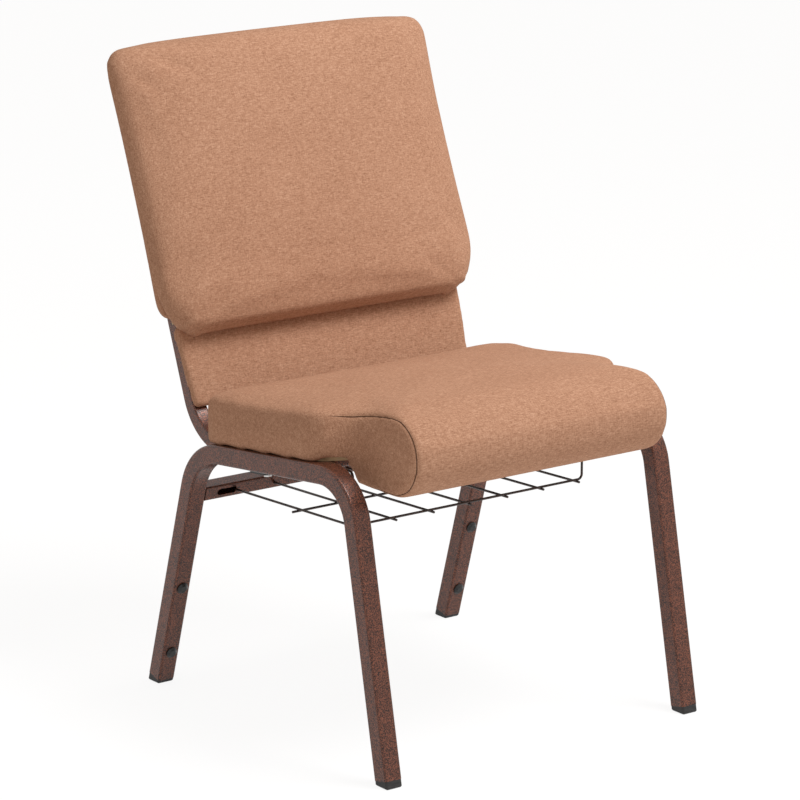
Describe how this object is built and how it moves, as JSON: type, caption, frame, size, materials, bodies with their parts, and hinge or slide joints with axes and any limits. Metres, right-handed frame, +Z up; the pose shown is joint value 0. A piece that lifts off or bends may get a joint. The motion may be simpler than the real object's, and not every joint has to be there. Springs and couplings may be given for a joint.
{
  "type": "guest chair",
  "caption": "Stacking guest chair with a bent square-tube frame, upholstered seat and back, a wire book rack under the seat and a swing-out ganging link.",
  "frame": {"origin": "on the floor, under the middle of the chair's box", "axes": "+Z up, the chair faces -Y, +X across it; left is -X, as seen from the front"},
  "size_m": [0.501, 0.647, 0.8344],
  "materials": {
    "frame_paint": "hammered copper vein powder coat",
    "rack_paint": "dark powder coat",
    "upholstery": "heathered tweed weave",
    "plywood": "raw plywood",
    "dust_cloth": "thin black non-woven cloth",
    "zinc_steel": "zinc plated",
    "glide_plastic": "moulded, matte",
    "bumper_rubber": "moulded, satin",
    "link_paint": "black paint"
  },
  "bodies": {
    "chair": {"left_side_frame": "frame_paint", "right_side_frame": "frame_paint", "left_back_upright": "frame_paint", "right_back_upright": "frame_paint", "frame_spacers": "frame_paint", "front_seat_cross_tube": "frame_paint", "rear_seat_cross_tube": "frame_paint", "rear_cross_tube": "frame_paint", "rack_long_wires": "rack_paint", "rack_mid_wire": "rack_paint", "rack_front_wire": "rack_paint", "seat_board": "plywood", "back_board": "plywood", "seat_cushion": "upholstery", "back_upper_pad": "upholstery", "back_lumbar_pad": "upholstery", "back_rear_pad": "upholstery", "seat_dust_cover": "dust_cloth", "seat_screws": "zinc_steel", "seat_tee_nuts": "zinc_steel", "back_screws": "zinc_steel", "back_tee_nuts": "zinc_steel", "left_front_glide": "glide_plastic", "left_rear_glide": "glide_plastic", "right_front_glide": "glide_plastic", "right_rear_glide": "glide_plastic", "left_upper_bumper": "bumper_rubber", "left_lower_bumper": "bumper_rubber", "right_upper_bumper": "bumper_rubber", "right_lower_bumper": "bumper_rubber", "ganging_rivet": "zinc_steel", "ganging_stud": "zinc_steel"},
    "link": {"ganging_link": "link_paint"}
  },
  "joints": [
    {"name": "ganging_swing", "type": "hinge", "parent": "chair", "child": "link", "pos_m": [-0.238, -0.05542, 0.34194], "axis": [0, 0.1097, 0.994], "range_deg": [0, 90]}
  ]
}
